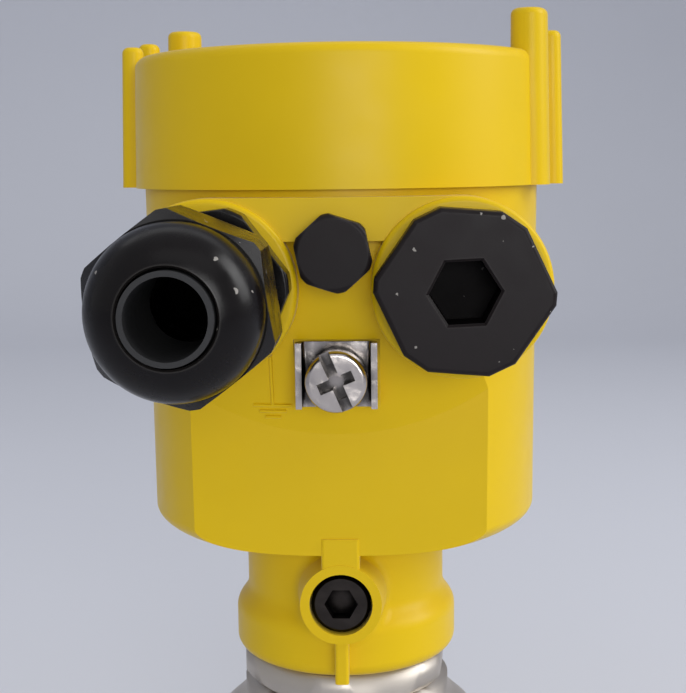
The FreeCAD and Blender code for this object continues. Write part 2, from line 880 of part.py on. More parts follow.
def module_screws():
    screws = []
    head_low = module_base + 4.0 + seat_gap
    for x, y in pillar_spots():
        head = rod(module_screw_head_radius, head_low, head_low + module_screw_head)
        slot = block(-4, 4, -0.5, 0.5, head_low + module_screw_head - 1.0, head_low + module_screw_head + 1)
        stem = rod(module_screw_radius, floor_z + 1.5, head_low + 0.2)
        screw = head.fuse(stem).cut(slot).removeSplitter()
        screw.translate(Vec(x, y, 0))
        screws.append(screw)
    return Part.makeCompound(screws)


def terminal_spots():
    first = -terminal_pitch * (terminal_count - 1) / 2
    return [first + k * terminal_pitch for k in range(terminal_count)]


def terminal_floor():
    return module_top - 2.5


def terminal_block():
    low = terminal_floor() + seat_gap
    high = low + block_height
    front = block_y - block_depth / 2
    back = block_y + block_depth / 2
    body = block(-block_width / 2, block_width / 2, front, back, low, high)
    top_edges = edges_where(body, lambda box: box.ZMin > high - 0.01)
    body = body.makeChamfer(0.6, top_edges)
    cuts = []
    sunk_floor = high - terminal_screw_sunk - terminal_screw_height
    for x in terminal_spots():
        sunk = rod(terminal_screw_radius + seal_gap, sunk_floor, high + 1)
        sunk.translate(Vec(x, block_y, 0))
        cuts.append(sunk)
        wire = to_front(rod(wire_hole_radius, -4, 1), x, -front, low + 3.0)
        cuts.append(wire)
    return body.cut(cuts)


def terminal_screws():
    low = terminal_floor() + block_height - terminal_screw_sunk - terminal_screw_height + 2 * seat_gap
    high = low + terminal_screw_height
    screw = rod(terminal_screw_radius, low, high)
    screw = screw.cut(block(-3, 3, -0.4, 0.4, high - 0.9, high + 1))
    screws = []
    for x in terminal_spots():
        copy = turned_about_z(screw, 25)
        copy.translate(Vec(x, block_y, 0))
        screws.append(copy)
    return Part.makeCompound(screws)


def contact_pins():
    first = -contact_pitch * (contact_count - 1) / 2
    low = terminal_floor() + seat_gap
    pins = []
    for k in range(contact_count):
        pin = revolve([
            (0, low),
            (contact_radius + 0.5, low),
            (contact_radius + 0.5, low + 1.0),
            (contact_radius, low + 1.0),
            (contact_radius, low + contact_height - 0.4),
            (contact_radius - 0.4, low + contact_height),
            (0, low + contact_height),
        ])
        pin.translate(Vec(first + k * contact_pitch, contact_y, 0))
        pins.append(pin)
    return Part.makeCompound(pins)


def inner_earth():
    low = terminal_floor() + seat_gap
    half = inner_earth_size / 2
    plate = block(-half, half, inner_earth_y - half, inner_earth_y + half, low, low + inner_earth_sheet)
    head = rod(inner_earth_head_radius, low, low + inner_earth_sheet + inner_earth_head)
    slot_low = low + inner_earth_sheet + inner_earth_head - 1.0
    head = head.cut(block(-5, 5, -0.5, 0.5, slot_low, slot_low + 2))
    head.translate(Vec(0, inner_earth_y, 0))
    return plate.fuse(head).removeSplitter()


PIECES = {
    "process_fitting": process_fitting,
    "measuring_cell": measuring_cell,
    "cell_seal": cell_seal,
    "cell_ring": cell_ring,
    "neck_seal": neck_seal,
    "circlip": circlip,
    "housing": housing,
    "gland_body": gland_body,
    "gland_gasket": lambda: port_seal(gland_gasket_height, -1),
    "earth_bush": earth_bush,
    "vent_cap": vent_cap,
    "vent_seal": vent_seal,
    "vent_membrane": vent_membrane,
    "electronics_module": electronics_module,
    "module_screws": module_screws,
    "terminal_block": terminal_block,
    "terminal_screws": terminal_screws,
    "contact_pins": contact_pins,
    "inner_earth": inner_earth,
    "lid_seal": lid_seal,
    "lid": lid,
    "gland_insert": gland_insert,
    "gland_nut": gland_nut,
    "plug_seal": lambda: port_seal(plug_seal_height, 1),
    "blind_plug": blind_plug,
    "earth_clamp": earth_clamp,
    "earth_washer": earth_washer,
    "earth_screw": earth_screw,
    "locking_screw": locking_screw,
}

os.makedirs("parts", exist_ok=True)
for name, make in PIECES.items():
    shape = make()
    if not shape.isValid():
        raise ValueError("piece is not a valid solid: " + name)
    shape.exportStep("parts/" + name + ".step")
    print(name, len(shape.Solids), "solids", round(shape.Volume, 1), "mm3")
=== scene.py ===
"""Looks of a pressure transmitter: finishes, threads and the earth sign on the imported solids, and the stage.

Lengths are metres in the part's own frame: the process axis is Z, the cable ports face -Y and the origin
lies on the sealing face of the fitting.
"""
import math

import bmesh
import bpy
from mathutils import Matrix, Vector
from mathutils.bvhtree import BVHTree


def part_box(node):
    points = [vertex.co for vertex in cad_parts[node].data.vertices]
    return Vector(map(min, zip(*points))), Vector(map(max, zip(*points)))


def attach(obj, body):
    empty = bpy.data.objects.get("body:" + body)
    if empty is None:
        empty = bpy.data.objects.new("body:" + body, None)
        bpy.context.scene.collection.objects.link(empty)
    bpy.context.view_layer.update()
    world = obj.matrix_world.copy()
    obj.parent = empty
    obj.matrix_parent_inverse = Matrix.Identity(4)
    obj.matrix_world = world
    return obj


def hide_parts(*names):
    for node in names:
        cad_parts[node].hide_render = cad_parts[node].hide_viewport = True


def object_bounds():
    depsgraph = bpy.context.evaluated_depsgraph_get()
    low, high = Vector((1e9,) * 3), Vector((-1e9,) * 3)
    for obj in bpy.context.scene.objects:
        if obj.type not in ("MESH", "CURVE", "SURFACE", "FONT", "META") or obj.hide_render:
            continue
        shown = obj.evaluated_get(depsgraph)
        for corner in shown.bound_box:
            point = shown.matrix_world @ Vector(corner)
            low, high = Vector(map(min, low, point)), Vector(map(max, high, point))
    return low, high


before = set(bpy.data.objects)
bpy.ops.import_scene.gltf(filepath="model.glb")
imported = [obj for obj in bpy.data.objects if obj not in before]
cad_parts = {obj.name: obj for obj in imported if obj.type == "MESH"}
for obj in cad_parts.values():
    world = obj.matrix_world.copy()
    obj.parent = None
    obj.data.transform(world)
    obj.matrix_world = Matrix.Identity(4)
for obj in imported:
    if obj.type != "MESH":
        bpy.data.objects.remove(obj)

bl_info = {
    "name": "Pressure transmitter looks",
    "version": (1, 0, 0),
    "blender": (4, 5, 0),
    "location": "3D View > Sidebar > Transmitter",
    "description": "Finishes, threads and signs of a pressure transmitter with a moulded housing",
    "category": "Object",
}

MM = 0.001
CAD_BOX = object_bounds()

# Radii of the walls in the solids that carry a thread here
STUB_RADIUS = 16.62 * MM
RIM_RADIUS = 33.5 * MM
BARREL_RADIUS = 9.0 * MM
STEM_RADIUS = 9.7 * MM


def linear(code):
    """A six-digit sRGB hex value as linear red, green, blue and alpha."""
    parts = [int(code[k:k + 2], 16) / 255 for k in (1, 3, 5)]
    return [p / 12.92 if p <= 0.04045 else ((p + 0.055) / 1.055) ** 2.4 for p in parts] + [1.0]


def colour_setting(label, code, use):
    """A colour that a user may change, given as a hex value."""
    return bpy.props.FloatVectorProperty(
        name=label, description=use, default=linear(code), size=4, min=0.0, max=1.0, subtype="COLOR")


def length_setting(label, millimetres, use):
    """A length that a user may change, given in millimetres."""
    return bpy.props.FloatProperty(
        name=label, description=use, default=millimetres * MM, unit="LENGTH", precision=5)


class TransmitterColours(bpy.types.PropertyGroup):
    """Colours of the finishes and of the stage."""
    yellow: colour_setting("Yellow", "#DDB90A", "Housing and lid")
    black: colour_setting("Black", "#1C1718", "Gland, plug and vent")
    rubber: colour_setting("Rubber", "#171718", "Seals")
    stainless: colour_setting("Stainless", "#CDC5BB", "Process fitting")
    nickel: colour_setting("Nickel", "#CBC3BE", "Earth terminal")
    blackened: colour_setting("Blackened steel", "#35312F", "Locking screw")
    brass: colour_setting("Brass", "#C9A250", "Earth bush and contact pins")
    ceramic: colour_setting("Ceramic", "#EDE9E0", "Measuring cell")
    grey: colour_setting("Grey plastic", "#6E7274", "Electronics module")
    pale: colour_setting("Pale plastic", "#C9CBBF", "Terminal block")
    membrane: colour_setting("Membrane", "#F0F0EC", "Vent membrane")
    # Near black painted shade for the dark inside of the housing and its ports.
    shade_inside_colour: colour_setting("Graphite", "#101011", "Coat inside the housing")
    dust: colour_setting("Dust", "#8D8983", "Specks and rubbed edges of the black plastic")
    floor: colour_setting("Floor", "#D4D6DE", "Floor and backdrop")


class TransmitterSizes(bpy.types.PropertyGroup):
    """Sizes of what the solids leave to the looks."""
    process_pitch: length_setting("Process thread pitch", 2.309, "Eleven turns to the inch")
    process_depth: length_setting("Process thread depth", 1.3, "From crest to root")
    gland_pitch: length_setting("Gland thread pitch", 1.5, "Thread under the gland nut")
    gland_depth: length_setting("Gland thread depth", 0.24, "Height of the ridge on the barrel")
    plug_depth: length_setting("Plug thread depth", 0.2, "Height of the ridge on the stem")
    rim_pitch: length_setting("Rim thread pitch", 4.0, "Thread under the lid")
    rim_depth: length_setting("Rim thread depth", 0.3, "Height of the ridge on the rim")
    sign_line: length_setting("Sign line width", 0.7, "Bars of the raised earth sign")
    sign_height: length_setting("Sign height", 0.3, "How far the earth sign stands out of the wall")


def settings():
    """The user's sizes and colours."""
    scene = bpy.context.scene
    return scene.transmitter_sizes, scene.transmitter_colours


def add_node(tree, kind, values=None, links=None):
    """Add a node, set its own properties and inputs by identifier, and link inputs to given outputs."""
    node = tree.nodes.new(kind)
    values = values or {}
    for key in [key for key in values if hasattr(node, key)]:
        setattr(node, key, values[key])
    sockets = {socket.identifier: socket for socket in node.inputs}
    for key in [key for key in values if key in sockets]:
        sockets[key].default_value = values[key]
    for key, output in (links or {}).items():
        tree.links.new(output, sockets[key])
    return node


def new_finish(name, values):
    """A node material with its shader's plain values set, and its tree."""
    material = bpy.data.materials.new(name)
    material.use_nodes = True
    shader = material.node_tree.nodes["Principled BSDF"]
    for key, value in values.items():
        shader.inputs[key].default_value = value
    return material, material.node_tree, shader


def per_metre(millimetres):
    """The pattern scale whose features have this size."""
    return 1.0 / (millimetres * MM)


def darker(colour, share):
    """The same colour with part of its light taken away."""
    return [channel * share for channel in colour[:3]] + [1.0]


def moulded_yellow_polyester(colours):
    """Polyester from a satin-eroded tool: an even warm yellow, broad soft gloss, faint handling marks."""
    material, tree, shader = new_finish(
        "moulded_yellow_polyester",
        {"IOR": 1.5, "Specular IOR Level": 0.2, "Sheen Weight": 0.1, "Sheen Roughness": 0.35})
    place = add_node(tree, "ShaderNodeTexCoord").outputs["Object"]
    cloud = add_node(tree, "ShaderNodeTexNoise", {"Scale": per_metre(14), "Detail": 3.0}, {"Vector": place})
    tint = add_node(
        tree, "ShaderNodeMix",
        {"data_type": "RGBA", "A_Color": darker(colours.yellow, 0.93), "B_Color": colours.yellow},
        {"Factor_Float": cloud.outputs[0]})
    tree.links.new(tint.outputs[2], shader.inputs["Base Color"])
    # The eroded grain is about 0.1 mm; it is drawn at 0.3 mm so that it still shows.
    grain = add_node(tree, "ShaderNodeTexNoise", {"Scale": per_metre(0.3), "Detail": 2.0}, {"Vector": place})
    bump = add_node(
        tree, "ShaderNodeBump", {"Strength": 0.25, "Distance": 0.02 * MM}, {"Height": grain.outputs[0]})
    tree.links.new(bump.outputs[0], shader.inputs["Normal"])
    rubbed = add_node(tree, "ShaderNodeTexNoise", {"Scale": per_metre(5), "Detail": 4.0}, {"Vector": place})
    gloss = add_node(
        tree, "ShaderNodeMapRange",
        {"From Min": 0.3, "From Max": 0.7, "To Min": 0.34, "To Max": 0.44}, {"Value": rubbed.outputs[0]})
    tree.links.new(gloss.outputs[0], shader.inputs["Roughness"])
    return material


def moulded_black_polyamide(name, black, dust, rough, shine):
    """Polyamide from a polished or an eroded tool: near black, crisp or dull gloss, specks, rubbed edges, and
    painted shade in its sockets and bores.
    """
    material, tree, shader = new_finish(name, {"IOR": 1.53})
    place = add_node(tree, "ShaderNodeTexCoord").outputs["Object"]
    # Specks up to 0.7 mm across, one at most in each 2.6 mm cell and none in nearly half of the cells. A
    # fine noise bends the places they are looked up at, so that no speck is round.
    bend = add_node(tree, "ShaderNodeTexNoise", {"Scale": per_metre(0.7), "Detail": 2.0}, {"Vector": place})
    bent = add_node(
        tree, "ShaderNodeVectorMath",
        {"operation": "MULTIPLY_ADD", "Vector_001": (0.8 * MM, 0.8 * MM, 0.8 * MM)},
        {"Vector": bend.outputs["Color"], "Vector_002": place})
    cells = add_node(tree, "ShaderNodeTexVoronoi", {"Scale": per_metre(2.6)}, {"Vector": bent.outputs[0]})
    split = add_node(tree, "ShaderNodeSeparateColor", {}, {"Color": cells.outputs["Color"]})
    size = add_node(
        tree, "ShaderNodeMapRange",
        {"From Min": 0.45, "From Max": 1.0, "To Min": 0.0, "To Max": 0.13}, {"Value": split.outputs[0]})
    speck = add_node(
        tree, "ShaderNodeMath", {"operation": "LESS_THAN"},
        {"Value": cells.outputs["Distance"], "Value_001": size.outputs[0]})
    haze = add_node(tree, "ShaderNodeTexNoise", {"Scale": per_metre(4), "Detail": 5.0}, {"Vector": place})
    film = add_node(
        tree, "ShaderNodeMix",
        {"data_type": "RGBA", "A_Color": darker(black, 0.7), "B_Color": darker(black, 1.3)},
        {"Factor_Float": haze.outputs[0]})
    # Occlusion looked up inside the plastic is low within 0.35 mm of an outer edge, which hands have rubbed.
    near_edge = add_node(
        tree, "ShaderNodeAmbientOcclusion",
        {"samples": 8, "inside": True, "only_local": True, "Distance": 0.35 * MM})
    rubbed = add_node(
        tree, "ShaderNodeMapRange",
        {"From Min": 0.95, "From Max": 0.55, "To Min": 0.0, "To Max": 0.22},
        {"Value": near_edge.outputs["AO"]})
    marked = add_node(
        tree, "ShaderNodeMath", {"operation": "MAXIMUM"},
        {"Value": speck.outputs[0], "Value_001": rubbed.outputs[0]})
    dusty = add_node(
        tree, "ShaderNodeMix", {"data_type": "RGBA", "B_Color": dust},
        {"Factor_Float": marked.outputs[0], "A_Color": film.outputs[2]})
    # Painted shade: what the piece itself hides within 10 mm, such as sockets and bores, is darkened in colour
    # and shine.
    painted_shade_ao = add_node(
        tree, "ShaderNodeAmbientOcclusion", {"samples": 8, "only_local": True, "Distance": 10 * MM})
    unshaded_share = add_node(
        tree, "ShaderNodeMapRange",
        {"From Min": 0.6, "From Max": 0.95, "To Min": 0.25, "To Max": 1.0}, {"Value": painted_shade_ao.outputs["AO"]})
    shown = add_node(
        tree, "ShaderNodeMix", {"data_type": "RGBA", "A_Color": (0.0, 0.0, 0.0, 1.0)},
        {"Factor_Float": unshaded_share.outputs[0], "B_Color": dusty.outputs[2]})
    tree.links.new(shown.outputs[2], shader.inputs["Base Color"])
    shining = add_node(
        tree, "ShaderNodeMath", {"operation": "MULTIPLY", "Value_001": shine},
        {"Value": unshaded_share.outputs[0]})
    tree.links.new(shining.outputs[0], shader.inputs["Specular IOR Level"])
    gloss = add_node(
        tree, "ShaderNodeMapRange",
        {"From Min": 0.3, "From Max": 0.7, "To Min": rough - 0.05, "To Max": rough + 0.07},
        {"Value": haze.outputs[0]})
    tree.links.new(gloss.outputs[0], shader.inputs["Roughness"])
    # The tool's grain is about 0.1 mm; it is drawn at 0.35 mm so that it still shows.
    grain = add_node(tree, "ShaderNodeTexNoise", {"Scale": per_metre(0.35), "Detail": 2.0}, {"Vector": place})
    bump = add_node(
        tree, "ShaderNodeBump", {"Strength": 0.3, "Distance": 0.02 * MM}, {"Height": grain.outputs[0]})
    tree.links.new(bump.outputs[0], shader.inputs["Normal"])
    return material


def moulded_rubber(colours):
    """Nitrile rubber from a matt tool: dark, with hardly any gloss and a fine bloom."""
    material, tree, shader = new_finish("moulded_nitrile_rubber", {"IOR": 1.52})
    place = add_node(tree, "ShaderNodeTexCoord").outputs["Object"]
    bloom = add_node(tree, "ShaderNodeTexNoise", {"Scale": per_metre(1.5), "Detail": 4.0}, {"Vector": place})
    tint = add_node(
        tree, "ShaderNodeMix",
        {"data_type": "RGBA", "A_Color": colours.rubber, "B_Color": darker(colours.rubber, 1.8)},
        {"Factor_Float": bloom.outputs[0]})
    tree.links.new(tint.outputs[2], shader.inputs["Base Color"])
    gloss = add_node(
        tree, "ShaderNodeMapRange", {"To Min": 0.55, "To Max": 0.75}, {"Value": bloom.outputs[0]})
    tree.links.new(gloss.outputs[0], shader.inputs["Roughness"])
    return material


def turned_stainless(colours):
    """Stainless steel from the lathe: grey mirror broken up by fine rings round the process axis."""
    material, tree, shader = new_finish("turned_stainless_steel", {"Metallic": 1.0})
    place = add_node(tree, "ShaderNodeTexCoord").outputs["Object"]
    # The tool's feed is about 0.1 mm a turn; its rings are drawn 1.57 mm apart so that they still show.
    # At a scale of one, the wave texture repeats after this length.
    wave_length = math.tau / 20
    rings = add_node(
        tree, "ShaderNodeTexWave",
        {"wave_type": "BANDS", "bands_direction": "Z", "Scale": per_metre(1.5708) * wave_length,
         "Distortion": 0.6, "Detail": 2.0, "Detail Scale": 0.4},
        {"Vector": place})
    bump = add_node(
        tree, "ShaderNodeBump", {"Strength": 0.2, "Distance": 0.01 * MM}, {"Height": rings.outputs["Fac"]})
    tree.links.new(bump.outputs[0], shader.inputs["Normal"])
    stain = add_node(tree, "ShaderNodeTexNoise", {"Scale": per_metre(6), "Detail": 5.0}, {"Vector": place})
    tint = add_node(
        tree, "ShaderNodeMix",
        {"data_type": "RGBA", "A_Color": darker(colours.stainless, 0.82), "B_Color": colours.stainless},
        {"Factor_Float": stain.outputs[0]})
    tree.links.new(tint.outputs[2], shader.inputs["Base Color"])
    gloss = add_node(
        tree, "ShaderNodeMapRange", {"To Min": 0.36, "To Max": 0.54}, {"Value": stain.outputs[0]})
    tree.links.new(gloss.outputs[0], shader.inputs["Roughness"])
    return material


def plated_metal(name, colour, rough):
    """Pressed or headed metal: a clear gloss with small dull blotches, and painted shade in its recesses."""
    material, tree, shader = new_finish(name, {"Metallic": 1.0})
    place = add_node(tree, "ShaderNodeTexCoord").outputs["Object"]
    blotch = add_node(tree, "ShaderNodeTexNoise", {"Scale": per_metre(2), "Detail": 5.0}, {"Vector": place})
    tint = add_node(
        tree, "ShaderNodeMix", {"data_type": "RGBA", "A_Color": darker(colour, 0.8), "B_Color": colour},
        {"Factor_Float": blotch.outputs[0]})
    # Painted shade: what is hidden within 2 mm, such as slots, corners and the gaps under the head, is
    # darkened towards a tenth of the colour.
    painted_shade_ao = add_node(tree, "ShaderNodeAmbientOcclusion", {"samples": 8, "Distance": 2.0 * MM})
    unshaded_share = add_node(
        tree, "ShaderNodeMapRange", {"From Min": 0.6, "From Max": 0.95}, {"Value": painted_shade_ao.outputs["AO"]})
    shaded_tint = add_node(
        tree, "ShaderNodeMix", {"data_type": "RGBA", "A_Color": darker(colour, 0.1)},
        {"Factor_Float": unshaded_share.outputs[0], "B_Color": tint.outputs[2]})
    tree.links.new(shaded_tint.outputs[2], shader.inputs["Base Color"])
    gloss = add_node(
        tree, "ShaderNodeMapRange", {"To Min": rough - 0.08, "To Max": rough + 0.1},
        {"Value": blotch.outputs[0]})
    tree.links.new(gloss.outputs[0], shader.inputs["Roughness"])
    # Blows of the press leave shallow dents about 3 mm wide, which bend the reflections.
    dents = add_node(
        tree, "ShaderNodeTexNoise", {"Scale": per_metre(3), "Detail": 2.0, "Roughness": 0.3},
        {"Vector": place})
    bump = add_node(
        tree, "ShaderNodeBump", {"Strength": 1.0, "Distance": 0.25 * MM}, {"Height": dents.outputs[0]})
    tree.links.new(bump.outputs[0], shader.inputs["Normal"])
    return material


def matt_moulding(name, colour, rough):
    """A plain moulded or fired surface inside, or painted shade: even colour with a slight cloud and a matt
    skin.
    """
    material, tree, shader = new_finish(name, {"IOR": 1.5})
    place = add_node(tree, "ShaderNodeTexCoord").outputs["Object"]
    cloud = add_node(tree, "ShaderNodeTexNoise", {"Scale": per_metre(5), "Detail": 4.0}, {"Vector": place})
    tint = add_node(
        tree, "ShaderNodeMix", {"data_type": "RGBA", "A_Color": darker(colour, 0.88), "B_Color": colour},
        {"Factor_Float": cloud.outputs[0]})
    tree.links.new(tint.outputs[2], shader.inputs["Base Color"])
    gloss = add_node(
        tree, "ShaderNodeMapRange", {"To Min": rough - 0.06, "To Max": rough + 0.06},
        {"Value": cloud.outputs[0]})
    tree.links.new(gloss.outputs[0], shader.inputs["Roughness"])
    return material


def pale_stage(colours):
    """Matt painted board: pale grey with a very slight cloud."""
    material, tree, shader = new_finish("pale_painted_board", {"Roughness": 0.9, "Specular IOR Level": 0.2})
    place = add_node(tree, "ShaderNodeTexCoord").outputs["Object"]
    cloud = add_node(tree, "ShaderNodeTexNoise", {"Scale": per_metre(300), "Detail": 2.0}, {"Vector": place})
    tint = add_node(
        tree, "ShaderNodeMix",
        {"data_type": "RGBA", "A_Color": darker(colours.floor, 0.95), "B_Color": colours.floor},
        {"Factor_Float": cloud.outputs[0]})
    tree.links.new(tint.outputs[2], shader.inputs["Base Color"])
    return material


def finish_for(name):
    """A finish made the first time that it is asked for."""
    colours = settings()[1]
    makers = {
        "moulded_yellow_polyester": lambda: moulded_yellow_polyester(colours),
        "polished_black_polyamide": lambda: moulded_black_polyamide(
            "polished_black_polyamide", darker(colours.black, 0.35), colours.dust, rough=0.24, shine=0.19),
        "eroded_black_polyamide": lambda: moulded_black_polyamide(
            "eroded_black_polyamide", colours.black, colours.dust, rough=0.4, shine=0.13),
        "moulded_nitrile_rubber": lambda: moulded_rubber(colours),
        "turned_stainless_steel": lambda: turned_stainless(colours),
        "nickel_plated_steel": lambda: plated_metal("nickel_plated_steel", colours.nickel, rough=0.2),
        "blackened_steel": lambda: plated_metal("blackened_steel", colours.blackened, rough=0.42),
        "turned_brass": lambda: plated_metal("turned_brass", colours.brass, rough=0.28),
        "fired_alumina": lambda: matt_moulding("fired_alumina", colours.ceramic, rough=0.4),
        "moulded_grey_polycarbonate": lambda: matt_moulding(
            "moulded_grey_polycarbonate", colours.grey, rough=0.45),
        "moulded_pale_polyamide": lambda: matt_moulding("moulded_pale_polyamide", colours.pale, rough=0.5),
        "sintered_white_membrane": lambda: matt_moulding(
            "sintered_white_membrane", colours.membrane, rough=0.8),
        # Near black painted shade inside the housing.
        "painted_shade_inside": lambda: matt_moulding(
            "painted_shade_inside", colours.shade_inside_colour, rough=0.8),
        "pale_painted_board": lambda: pale_stage(colours),
    }
    return bpy.data.materials.get(name) or makers[name]()


def dress(material, *nodes):
    """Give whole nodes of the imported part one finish."""
    for node in nodes:
        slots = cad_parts[node].data.materials
        slots.clear()
        slots.append(finish_for(material))


def box_middle(node):
    """The middle of a node's box."""
    low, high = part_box(node)
    return (low + high) / 2


def piece_from(name, mesh, body):
    """Show a mesh as a piece that moves with a body; it keeps the finish that its mesh carries."""
    piece = bpy.data.objects.new(name, mesh)
    bpy.context.scene.collection.objects.link(piece)
    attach(piece, body)
    return piece


def thread_tree():
    """Node tree of one screw thread: a ridge swept along a spiral that fades out at both ends."""
    tree = bpy.data.node_groups.get("screw_thread")
    if tree:
        return tree
    tree = bpy.data.node_groups.new("screw_thread", "GeometryNodeTree")
    for name, kind in (
            ("Radius", "NodeSocketFloat"), ("Pitch", "NodeSocketFloat"), ("Turns", "NodeSocketFloat"),
            ("Depth", "NodeSocketFloat"), ("Width", "NodeSocketFloat"), ("Place", "NodeSocketVector"),
            ("Turn", "NodeSocketVector"), ("Finish", "NodeSocketMaterial")):
        tree.interface.new_socket(name=name, in_out="INPUT", socket_type=kind)
    tree.interface.new_socket(name="Geometry", in_out="OUTPUT", socket_type="NodeSocketGeometry")
    given = add_node(tree, "NodeGroupInput").outputs
    rise = add_node(
        tree, "ShaderNodeMath", {"operation": "MULTIPLY"},
        {"Value": given["Pitch"], "Value_001": given["Turns"]})
    spiral = add_node(
        tree, "GeometryNodeCurveSpiral", {"Resolution": 72, "Reverse": False},
        {"Rotations": given["Turns"], "Start Radius": given["Radius"], "End Radius": given["Radius"],
         "Height": rise.outputs[0]})
    along = add_node(tree, "GeometryNodeSplineParameter")
    # The ridge rises over its first half turn and sinks over its last.
    from_end = add_node(
        tree, "ShaderNodeMath", {"operation": "PINGPONG", "Value_001": 0.5},
        {"Value": along.outputs["Factor"]})
    in_turns = add_node(
        tree, "ShaderNodeMath", {"operation": "MULTIPLY"},
        {"Value": from_end.outputs[0], "Value_001": given["Turns"]})
    fade = add_node(
        tree, "ShaderNodeMapRange",
        {"From Min": 0.0, "From Max": 0.5, "To Min": 0.02, "To Max": 1.0}, {"Value": in_turns.outputs[0]})
    sized = add_node(
        tree, "GeometryNodeSetCurveRadius", {}, {"Curve": spiral.outputs[0], "Radius": fade.outputs[0]})
    upright = add_node(tree, "GeometryNodeSetCurveNormal", {"mode": "Z_UP"}, {"Curve": sized.outputs[0]})
    # The section's middle lies on the wall: it is one width wide there, and its lower half is in the wall.
    top_width = add_node(
        tree, "ShaderNodeMath", {"operation": "MULTIPLY", "Value_001": 0.2}, {"Value": given["Width"]})
    height = add_node(
        tree, "ShaderNodeMath", {"operation": "MULTIPLY", "Value_001": 2.0}, {"Value": given["Depth"]})
    foot_width = add_node(
        tree, "ShaderNodeMath", {"operation": "MULTIPLY", "Value_001": 1.8}, {"Value": given["Width"]})
    section = add_node(
        tree, "GeometryNodeCurvePrimitiveQuadrilateral", {"mode": "TRAPEZOID", "Offset": 0.0},
        {"Bottom Width": foot_width.outputs[0], "Top Width": top_width.outputs[0],
         "Height": height.outputs[0]})
    turned = add_node(
        tree, "GeometryNodeTransform", {"Rotation": (0.0, 0.0, math.radians(-90))},
        {"Geometry": section.outputs[0]})
    ridge = add_node(
        tree, "GeometryNodeCurveToMesh", {"Fill Caps": True},
        {"Curve": upright.outputs[0], "Profile Curve": turned.outputs[0]})
    placed = add_node(
        tree, "GeometryNodeTransform", {},
        {"Geometry": ridge.outputs[0], "Translation": given["Place"], "Rotation": given["Turn"]})
    real = add_node(tree, "GeometryNodeRealizeInstances", {}, {"Geometry": placed.outputs[0]})
    finished = add_node(
        tree, "GeometryNodeSetMaterial", {}, {"Geometry": real.outputs[0], "Material": given["Finish"]})
    result = add_node(tree, "NodeGroupOutput")
    tree.links.new(finished.outputs[0], result.inputs[0])
    return tree


def screw_thread(name, body, values):
    """One screw thread as a plain mesh piece."""
    carrier = bpy.data.objects.new(name + "_maker", bpy.data.meshes.new(name + "_maker"))
    bpy.context.scene.collection.objects.link(carrier)
    tree = thread_tree()
    modifier = carrier.modifiers.new("thread", "NODES")
    modifier.node_group = tree
    for item in tree.interface.items_tree:
        if item.in_out == "INPUT":
            modifier[item.identifier] = values[item.name]
    bpy.context.view_layer.update()
    shown = carrier.evaluated_get(bpy.context.evaluated_depsgraph_get())
    mesh = bpy.data.meshes.new_from_object(shown)
    mesh.name = name
    bpy.data.objects.remove(carrier)
    shell = bmesh.new()
    shell.from_mesh(mesh)
    bmesh.ops.remove_doubles(shell, verts=shell.verts, dist=0.0001 * MM)
    bmesh.ops.recalc_face_normals(shell, faces=shell.faces)
    shell.to_mesh(mesh)
    shell.free()
    return piece_from(name, mesh, body)


class TRANSMITTER_OT_fitting(bpy.types.Operator):
    """Finish the stainless process fitting and cut the thread on its stub"""
    bl_idname = "transmitter.fitting"
    bl_label = "Process fitting"

    def execute(self, context):
        sizes = settings()[0]
        dress("turned_stainless_steel", "process_fitting", "circlip")
        dress("nickel_plated_steel", "cell_ring")
        dress("fired_alumina", "measuring_cell")
        dress("moulded_nitrile_rubber", "cell_seal", "neck_seal")
        self.cut_root(sizes)
        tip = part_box("process_fitting")[0].z
        tip_gap = 1.4 * MM
        shoulder_gap = 1.5 * MM
        ridge_share = 0.62
        screw_thread("process_thread", "process", {
            "Radius": STUB_RADIUS - sizes.process_depth,
            "Pitch": sizes.process_pitch,
            "Turns": (-tip - tip_gap - shoulder_gap) / sizes.process_pitch,
            "Depth": sizes.process_depth,
            "Width": ridge_share * sizes.process_pitch,
            "Place": (0.0, 0.0, tip + tip_gap),
            "Turn": (0.0, 0.0, 0.0),
            "Finish": finish_for("turned_stainless_steel"),
        })
        return {"FINISHED"}

    def cut_root(self, sizes):
        """A copy of the fitting whose stub is cut down to the root of the thread."""
        root = STUB_RADIUS - sizes.process_depth
        stub_top = 0.01 * MM
        slack = 0.1 * MM
        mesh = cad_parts["process_fitting"].data.copy()
        mesh.name = "threaded_fitting"
        shell = bmesh.new()
        shell.from_mesh(mesh)
        bmesh.ops.remove_doubles(shell, verts=shell.verts, dist=0.001 * MM)
        for vert in shell.verts:
            reach = math.hypot(vert.co.x, vert.co.y)
            if vert.co.z < stub_top and root < reach < STUB_RADIUS + slack:
                vert.co.x *= root / reach
                vert.co.y *= root / reach
        shell.to_mesh(mesh)
        shell.free()
        mesh.shade_smooth()
        mesh.set_sharp_from_angle(angle=math.radians(30))
        piece = piece_from("threaded_fitting", mesh, "process")
        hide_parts("process_fitting")


